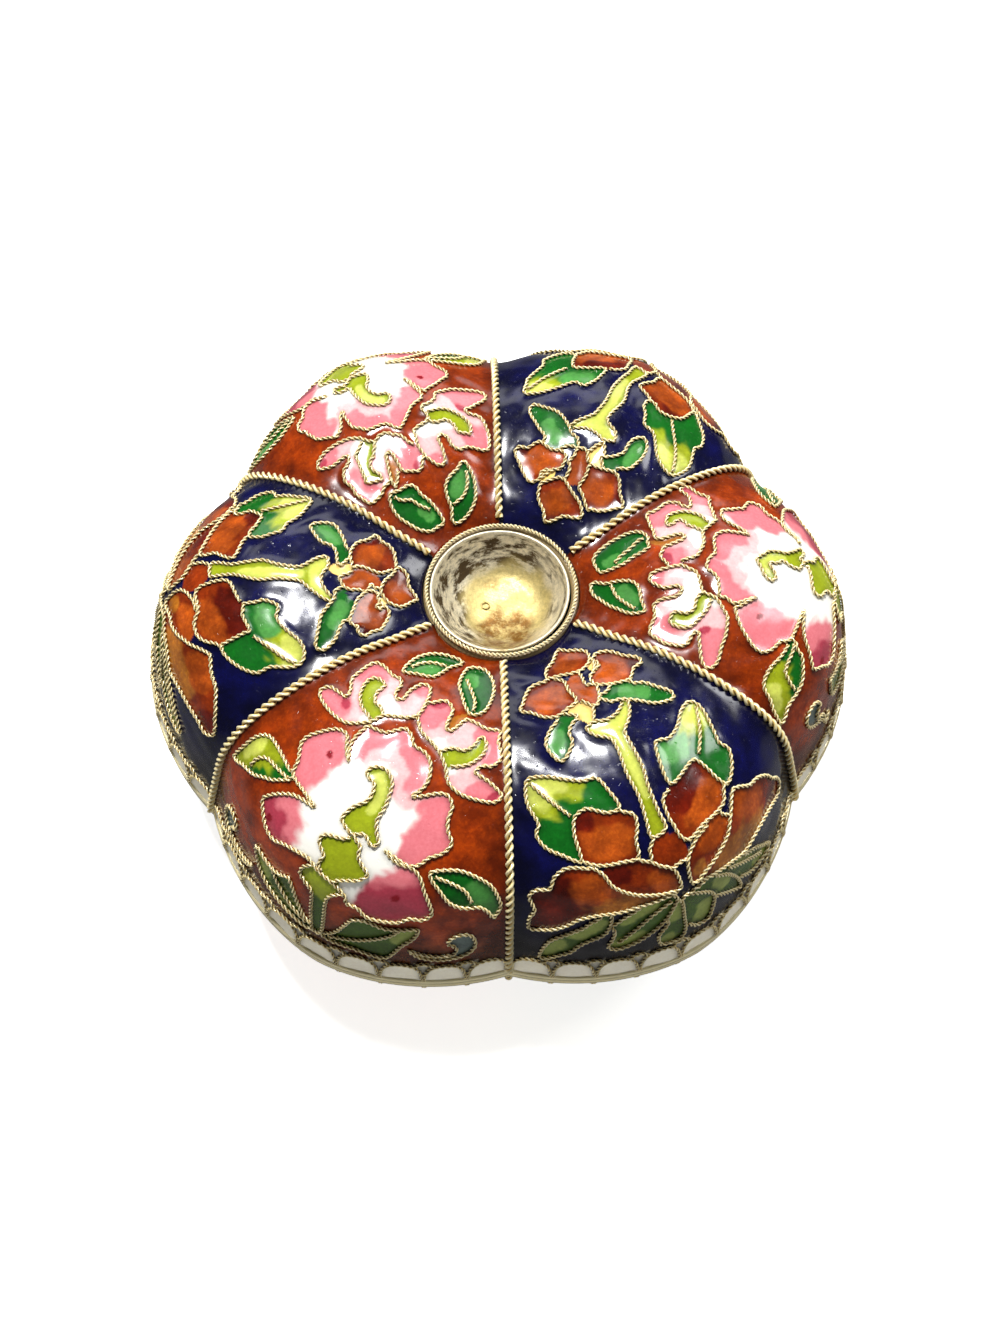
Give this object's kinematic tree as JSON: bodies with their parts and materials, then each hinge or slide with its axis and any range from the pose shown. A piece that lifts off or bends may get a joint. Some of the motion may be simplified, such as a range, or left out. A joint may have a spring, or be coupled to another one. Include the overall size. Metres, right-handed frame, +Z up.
{
  "type": "lidded box",
  "caption": "Low melon-lobed lidded box in cloisonne enamel on copper, hollow, with a domed lift-off lid, gilt rims, rope wires in the grooves and a small open gilt cup sunk in the crown.",
  "frame": {"origin": "middle of the underside, on the surface that the box stands on", "axes": "+Z up through the crown cup, +X along the crown of a rust-coloured lobe, and -Y towards the groove at the front"},
  "size_m": [0.09, 0.0846, 0.0393],
  "materials": {
    "rust_enamel": "glossy fired enamel",
    "blue_enamel": "glossy fired enamel",
    "lining_enamel": "glossy fired enamel, slightly uneven",
    "gilt": "gilded, softly polished",
    "worn_gilt": "rubbed and tarnished gilding"
  },
  "bodies": {
    "root": {"bowl": "blue_enamel", "bowl_band": "gilt", "lid": "rust_enamel", "lid_band": "gilt", "crown_cup": "worn_gilt", "cup_ring_wire": "gilt", "groove_wire_1": "gilt", "groove_wire_2": "gilt", "groove_wire_3": "gilt", "groove_wire_4": "gilt", "groove_wire_5": "gilt", "groove_wire_6": "gilt"}
  },
  "joints": []
}
